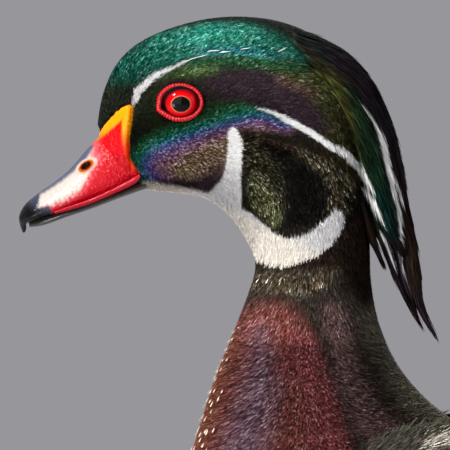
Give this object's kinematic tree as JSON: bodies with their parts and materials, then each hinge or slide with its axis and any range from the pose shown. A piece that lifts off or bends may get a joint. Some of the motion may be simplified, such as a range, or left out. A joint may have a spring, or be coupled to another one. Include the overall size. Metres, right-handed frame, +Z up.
{
  "type": "wood duck drake model",
  "caption": "Life-size still model of a drake wood duck standing with head raised, swept-back crest, folded wings, flat tail and webbed feet.",
  "frame": {"origin": "on the floor, under the middle of the bounding box", "axes": "+Z up; the bird faces -Y, its tail points to +Y, and its left side is +X"},
  "size_m": [0.1224, 0.37, 0.3088],
  "materials": {
    "head_feathers": "iridescent green, blue and purple short feathers with white lines",
    "crest_feathers": "glossy green to purple hanging locks with white stripes",
    "neck_feathers": "chestnut with a violet sheen and small white spots",
    "body_feathers": "chestnut breast, white belly and bronze-green back",
    "wing_feathers": "iridescent blue and bronze vanes",
    "flank_feathers": "golden buff, finely barred, edged with black and white",
    "tail_feathers": "black-green vanes",
    "undertail_feathers": "dark brown short feathers",
    "rump_plumes": "maroon and rusty loose plumes",
    "leg_feathers": "soft pale short feathers",
    "leg_skin": "straw-yellow scaled skin with dusky webs",
    "claw": "black horn",
    "bill_skin": "glossy red, white and yellow skin over horn",
    "bill_horn": "smooth black horn",
    "eye": "wet red iris and black pupil under a clear cornea",
    "eyelid": "red beaded rim of bare skin"
  },
  "bodies": {
    "root": {"head": "head_feathers", "neck": "neck_feathers", "torso": "body_feathers", "crest": "crest_feathers", "eye_left": "eye", "eye_right": "eye", "eyelid_left": "eyelid", "eyelid_right": "eyelid", "bill_upper": "bill_skin", "bill_nail": "bill_horn", "bill_lower": "bill_horn", "wing_left": "wing_feathers", "wing_right": "wing_feathers", "flank_left": "flank_feathers", "flank_right": "flank_feathers", "tail": "tail_feathers", "uppertail_coverts": "tail_feathers", "undertail_coverts": "undertail_feathers", "rump_plumes_left": "rump_plumes", "rump_plumes_right": "rump_plumes", "thigh_left": "leg_feathers", "thigh_right": "leg_feathers", "shank_left": "leg_skin", "shank_right": "leg_skin", "foot_left": "leg_skin", "foot_right": "leg_skin", "claw_inner_left": "claw", "claw_inner_right": "claw", "claw_middle_left": "claw", "claw_middle_right": "claw", "claw_outer_left": "claw", "claw_outer_right": "claw", "claw_hind_left": "claw", "claw_hind_right": "claw"}
  },
  "joints": []
}
